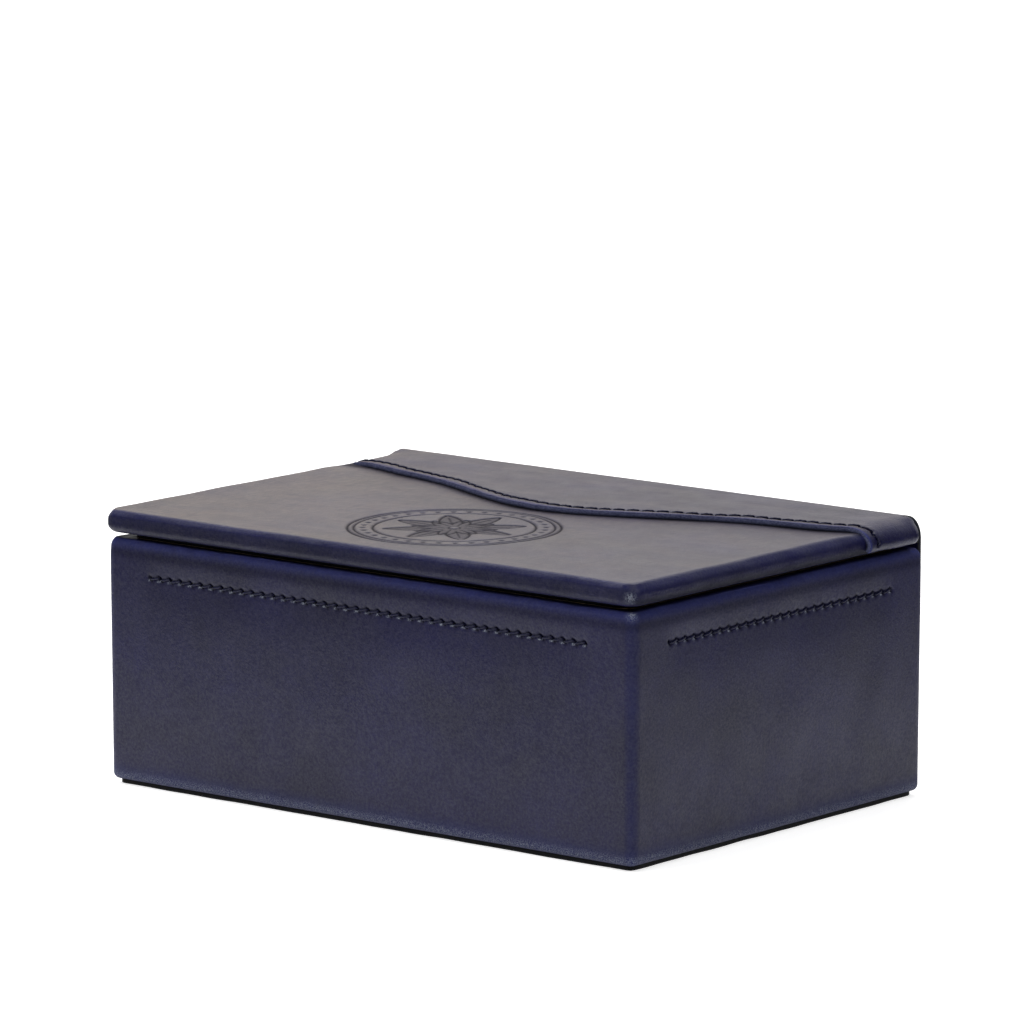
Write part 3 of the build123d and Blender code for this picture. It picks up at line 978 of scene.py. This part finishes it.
def rounded_faces(low, high, rounding, pitch):
    """The six faces of a box with rounded edges, each as a grid of points with its quads."""
    spans = []
    for axis in range(3):
        corner = rounding * np.array([0, 0.12, 0.3, 0.55, 0.8, 1.0])
        count = max(3, round((high[axis] - low[axis] - 2 * rounding) / pitch) + 1)
        inner = np.linspace(low[axis] + rounding, high[axis] - rounding, count)[1:-1]
        spans.append(np.concatenate([low[axis] + corner, inner, (high[axis] - corner)[::-1]]))
    for axis in range(3):
        first, second = [a for a in range(3) if a != axis]
        for at_high in (False, True):
            points = np.empty((len(spans[first]), len(spans[second]), 3))
            points[..., first], points[..., second] = np.meshgrid(spans[first], spans[second], indexing="ij")
            points[..., axis] = (low, high)[at_high][axis]
            inside = np.clip(points, low + rounding, high - rounding)
            outward = points - inside
            outward /= np.linalg.norm(outward, axis=-1, keepdims=True)
            faces = grid_faces(*points.shape[:2], flip=at_high != (axis == 1))
            yield inside + rounding * outward, outward, faces


def round_plan(points, low, high, corner):
    """Rounds the four upright corners of a panel seen from above."""
    middle = (low[:2] + high[:2]) / 2
    core = (high[:2] - low[:2]) / 2 - corner
    off = points[..., :2] - middle
    beyond = np.clip(np.abs(off) - core, 0, None) / corner
    pulled = beyond * np.sqrt(1 - beyond[..., ::-1] ** 2 / 2)
    points[..., :2] += np.sign(off) * (pulled - beyond) * corner


def make_panel(
        name, node, body, material, rounding, low, high, seed,
        pitch=2.5, swell=0.12, painted_side_shade=0.0, corner=0.0):
    """A soft panel in the place of a CAD slab, with rounded edges and a slightly uneven face."""
    uneven = waves(seed, 12, 60)
    thin = np.argmin(high - low)
    shape = Shape()
    for points, outward, faces in rounded_faces(low, high, rounding, pitch):
        facing = outward[..., thin]
        points[..., thin] -= facing * swell * (0.5 + 0.5 * uneven(points))
        if corner:
            round_plan(points, low, high, corner)
        # Painted shade on the sides, where asked for.
        shape.add(points, faces, edge=painted_side_shade * ease(1 - np.abs(facing), 0.15, 0.6))
    shape.make(name, body, [material], (node,), weld=True)


def make_linings():
    for index, wall in enumerate(("front", "back", "left", "right", "floor")):
        node = wall + "_lining"
        low, high = node_box(node)
        make_panel(node + "_leather", node, "box_body", lining, 0.7, low, high, 40 + index)
    pad_inset = np.array((2.4, 1.0, 0))
    pad_top = np.array((pad_high[0], pad_high[1], lid_under + 0.6))
    make_panel(
        "lid_lining_pad", "lid_lining", "lid", lining, 0.45,
        pad_low + pad_inset, pad_top - pad_inset, 47, pitch=1.2, swell=0.0, painted_side_shade=1.0, corner=6.5)
    sole_top = np.array((panel_high[0], panel_high[1], body_low + 0.05))
    make_panel(
        "base_sole", "base_panel", "box_body", sole, 0.7, panel_low, sole_top, 48,
        pitch=1.6, corner=3.0)


# Loose fibres where corners are rubbed

def make_tuft(name, body, middle, outward, reach, count, seed):
    """A few fine fibres that stand off a rubbed corner."""
    random = np.random.default_rng(seed)
    outward = np.array(outward, float) / np.linalg.norm(outward)
    t = np.linspace(0, 1, 7)[:, None]
    shape = Shape()
    for _ in range(count):
        start = np.array(middle) + random.normal(0, 0.42, 3) * (1 - 0.6 * np.abs(outward))
        aim = outward + random.normal(0, 0.55, 3)
        aim /= np.linalg.norm(aim)
        curl = random.normal(0, 0.5, 3)
        length = reach * random.uniform(0.4, 1.0)
        centre = start + (t - 0.25) * length * aim + t ** 2 * length * 0.4 * curl
        tube(shape, centre, np.cross(aim, (0.3, 0.5, 0.8)), 0.055 * (1 - 0.8 * t) * np.ones((1, 5)))
    shape.make(name, body, [fibre], sharp=60)


def make_tufts():
    make_tuft("rim_corner_fibres", "box_body", body_fray, (1, -1, 0.4), 0.9, 16, 51)
    make_tuft("lid_corner_fibres", "lid", lid_fray, (1, -1, -0.2), 0.9, 16, 52)
    tongue_end = strap_point(np.array([-110.5]), 0.2)[0]
    make_tuft("tongue_end_fibres", "lid", tongue_end, (-0.5, -0.4, 1), 0.7, 12, 53)


for node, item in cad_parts.items():
    item.data.materials.clear()
    item.data.materials.append(board if node.endswith("board") else lining)

make_body_wrap()
make_lid_cover()
make_hinge_leather()
make_wall_stitches("front", half_y, (0, -1, 0), front_row_half, half_x, 61)
make_wall_stitches("right", half_x, (1, 0, 0), side_row_half, half_y, 62)
make_wall_stitches("left", half_x, (-1, 0, 0), side_row_half, half_y, 63)
make_wall_stitches("back", hinge_face, (0, 1, 0), front_row_half, half_x, 64, full=0)
make_tongue_stitches()
make_linings()
make_tufts()


# Floor, light and camera

floor_colour = 0.8
near_glow = 0.7
gloss_glow = 0.58
bright_reach = 0.3
dark_reach = 0.52
dark_share = 0.02
floor_dim_way = (0.707, 0.707, 0)


def ray_kinds(nodes):
    """Two values of 0 or 1: for rays that come straight or through glass, and for rays off a gloss."""
    path = nodes.new("LightPath").outputs
    return nodes.math("MAXIMUM", path["Is Camera Ray"], path["Is Transmission Ray"]), path["Is Glossy Ray"]


def make_floor():
    """A white floor that keeps the object's shadow; in a gloss it is a bright table that ends nearby."""
    reach = 30.0
    corners = [(-reach, -reach, 0), (reach, -reach, 0), (reach, reach, 0), (-reach, reach, 0)]
    mesh = bpy.data.meshes.new("floor")
    mesh.from_pydata(corners, [], [(0, 1, 2, 3)])
    floor = bpy.data.objects.new("floor", mesh)
    bpy.context.scene.collection.objects.link(floor)
    nodes = Nodes("floor_white")
    link = nodes.tree.links.new
    away = nodes.new("VectorMath")
    away.operation = "LENGTH"
    link(nodes.place, away.inputs[0])
    distance = away.outputs["Value"]
    seen, gloss = ray_kinds(nodes)
    table = nodes.spread(distance, bright_reach, dark_reach, 1.0, dark_share)
    side = nodes.new("VectorMath")
    side.operation = "DOT_PRODUCT"
    side.inputs[1].default_value = floor_dim_way
    link(nodes.place, side.inputs[0])
    # Painted reflection: the glow seen in a gloss is stronger to the front left than to the back right, and a
    # painted shadow dims it near the box.
    glow_share = nodes.spread(side.outputs["Value"], -0.25, 0.25, 1.12, 0.68)
    near_share = nodes.spread(distance, 0.1, 0.25, 0.84, 1.0)
    glow_share = nodes.times(glow_share, near_share)
    kept = nodes.times_add(gloss, nodes.math("SUBTRACT", table, 1.0), 1.0)
    lit_table = nodes.times(table, glow_share)
    in_gloss = nodes.times(gloss, nodes.times(lit_table, gloss_glow))
    straight = nodes.times(seen, nodes.spread(distance, 0.6, 3.0, near_glow, 1.0))
    diffuse = nodes.new("BsdfDiffuse")
    glow = nodes.new("Emission")
    both = nodes.new("AddShader")
    link(nodes.times(kept, floor_colour), diffuse.inputs["Color"])
    link(nodes.math("ADD", in_gloss, straight), glow.inputs["Strength"])
    link(diffuse.outputs[0], both.inputs[0])
    link(glow.outputs[0], both.inputs[1])
    link(both.outputs[0], nodes.out.inputs["Surface"])
    mesh.materials.append(nodes.material)


world_light = 0.24
world_white_way = (-0.707, 0.707, 0)


def make_world():
    """White behind the object, weak light all round, and in a gloss dark towards the front and the right."""
    world = bpy.data.worlds.new("studio")
    world.use_nodes = True
    tree = world.node_tree
    link = tree.links.new
    tree.nodes.clear()
    out = tree.nodes.new("ShaderNodeOutputWorld")
    background = tree.nodes.new("ShaderNodeBackground")
    path = tree.nodes.new("ShaderNodeLightPath").outputs
    way = tree.nodes.new("ShaderNodeVectorMath")
    way.operation = "DOT_PRODUCT"
    way.inputs[1].default_value = world_white_way
    link(tree.nodes.new("ShaderNodeTexCoord").outputs["Generated"], way.inputs[0])
    white = tree.nodes.new("ShaderNodeMapRange")
    white.inputs["From Min"].default_value = 0.28
    white.inputs["From Max"].default_value = 0.55
    white.inputs["To Min"].default_value = 0.02
    link(way.outputs["Value"], white.inputs["Value"])
    strength = world_light
    levels = (
        ("Is Glossy Ray", white.outputs["Result"]), ("Is Transmission Ray", 1.0), ("Is Camera Ray", 1.0))
    for ray, level in levels:
        mix = tree.nodes.new("ShaderNodeMix")
        link(path[ray], mix.inputs["Factor"])
        for value, socket in ((strength, mix.inputs["A"]), (level, mix.inputs["B"])):
            if isinstance(value, float):
                socket.default_value = value
            else:
                link(value, socket)
        strength = mix.outputs["Result"]
    link(strength, background.inputs["Strength"])
    link(background.outputs[0], out.inputs["Surface"])
    bpy.context.scene.world = world


def soft_box(name, place, size, power, target=(0, 0, 0.05)):
    data = bpy.data.lights.new(name, "AREA")
    data.shape = "SQUARE"
    data.size = size
    data.energy = power
    lamp = bpy.data.objects.new(name, data)
    lamp.location = place
    lamp.rotation_euler = (Vector(target) - Vector(place)).to_track_quat("-Z", "Y").to_euler()
    bpy.context.scene.collection.objects.link(lamp)


camera_azimuth = 39.09
camera_elevation = 9.79
camera_distance = 2.551
camera_target = Vector((-0.00091, 0, 0.09638))
focal_pixels = 7477
image_pixels = 1024
sensor_width = 36.0


def make_camera():
    """The photograph's view: from the front right, a little above the lid."""
    turn = radians(camera_azimuth)
    lift = radians(camera_elevation)
    back = Vector((sin(turn) * cos(lift), -cos(turn) * cos(lift), sin(lift)))
    right = Vector((cos(turn), sin(turn), 0))
    data = bpy.data.cameras.new("camera")
    data.sensor_width = sensor_width
    data.lens = focal_pixels * sensor_width / image_pixels
    data.clip_end = 100
    camera = bpy.data.objects.new("camera", data)
    rotation = Matrix((right, back.cross(right), back)).transposed().to_4x4()
    camera.matrix_world = Matrix.Translation(camera_target + back * camera_distance) @ rotation
    bpy.context.scene.collection.objects.link(camera)
    bpy.context.scene.camera = camera


make_floor()
make_world()
soft_box("overhead", (-0.3, 0.2, 1.5), 1.4, 20)
soft_box("front_left", (-0.7, -1.2, 1.45), 1.0, 12)
soft_box("right_fill", (1.5, -0.2, 1.2), 1.0, 5.5)
make_camera()
bpy.context.scene.view_settings.view_transform = "Standard"
